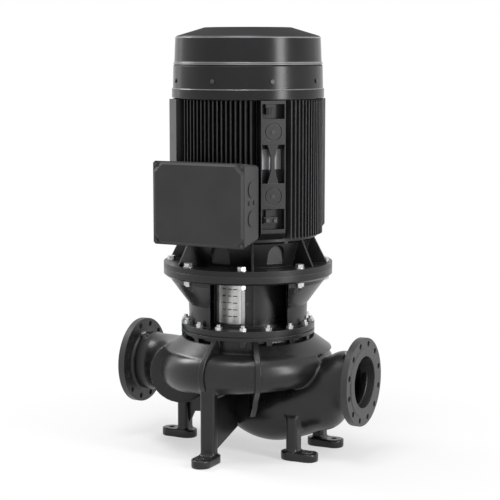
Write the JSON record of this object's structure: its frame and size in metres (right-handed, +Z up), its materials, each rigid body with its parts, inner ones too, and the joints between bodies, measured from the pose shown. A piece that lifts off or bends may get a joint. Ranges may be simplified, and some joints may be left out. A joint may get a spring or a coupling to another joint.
{
  "type": "in-line circulation pump",
  "caption": "Vertical in-line centrifugal pump: volute casing on legs with coaxial flanged ports, a lantern stool, and a finned flange motor with fan cover, canopy and terminal box.",
  "frame": {"origin": "the point on the floor below the shaft axis; the pipe axis crosses the shaft axis 300 mm above it", "axes": "+X along the pipe towards the suction flange, +Y to the back, away from the terminal box, +Z up along the shaft"},
  "size_m": [1, 0.756, 1.643],
  "materials": {
    "cast_paint": "satin black paint over rough casting",
    "motor_paint": "satin black paint over ribbed casting",
    "sheet_paint": "semi-gloss dark paint on pressed sheet",
    "box_paint": "satin dark grey paint on die casting",
    "zinc": "bright zinc plate",
    "stainless": "bright stainless sheet",
    "machined_steel": "ground steel",
    "bearing_steel": "polished",
    "lamination": "stacked sheet edges",
    "winding": "varnished copper wire",
    "impeller_metal": "cast bronze",
    "coupling_iron": "machined and oiled",
    "rubber": "matt",
    "seal_face_stone": "lapped",
    "plastic": "matt black moulding",
    "plate_metal": "brushed, blank",
    "brass": "turned"
  },
  "bodies": {
    "pump_unit": {"pump_casing": "cast_paint", "casing_wear_ring": "impeller_metal", "cover_gasket": "rubber", "casing_cover": "cast_paint", "vent_plug": "brass", "gauge_plugs": "zinc", "drain_plug": "zinc", "cover_studs": "zinc", "cover_nuts": "zinc", "motor_stool": "cast_paint", "guard_screws": "zinc", "guard_front": "stainless", "guard_rear": "stainless", "seal_seat": "seal_face_stone", "drive_endshield": "motor_paint", "flange_bolts": "zinc", "flange_nuts": "zinc", "drive_endshield_bolts": "zinc", "stator_frame": "motor_paint", "frame_lug_bolt": "zinc", "pad_plugs": "plastic", "nameplate": "plate_metal", "earth_clamp": "zinc", "earth_bolts": "zinc", "stator_core": "lamination", "stator_windings": "winding", "rear_endshield": "motor_paint", "rear_endshield_bolts": "zinc", "fan_cover": "sheet_paint", "fan_cover_screws": "zinc", "rain_canopy": "sheet_paint", "terminal_box": "box_paint", "terminal_box_lid": "box_paint", "lid_screws": "zinc", "terminal_board": "plastic", "terminal_studs": "brass", "cable_entry_plugs": "plastic", "drive_bearing_outer": "bearing_steel", "rear_bearing_outer": "bearing_steel"},
    "rotor": {"coupling_half_front": "coupling_iron", "coupling_half_rear": "coupling_iron", "coupling_bolts": "zinc", "pump_shaft": "machined_steel", "impeller_key": "machined_steel", "impeller": "impeller_metal", "impeller_nut": "machined_steel", "seal_head": "machined_steel", "seal_bellows": "rubber", "motor_shaft": "machined_steel", "rotor_core": "lamination", "cooling_fan": "plastic", "drive_bearing_inner": "bearing_steel", "drive_bearing_balls": "bearing_steel", "rear_bearing_inner": "bearing_steel", "rear_bearing_balls": "bearing_steel"}
  },
  "joints": [
    {"name": "rotor_spin", "type": "hinge", "parent": "pump_unit", "child": "rotor", "pos_m": [0, 0, 0.6], "axis": [0, 0, 1], "continuous": true}
  ]
}
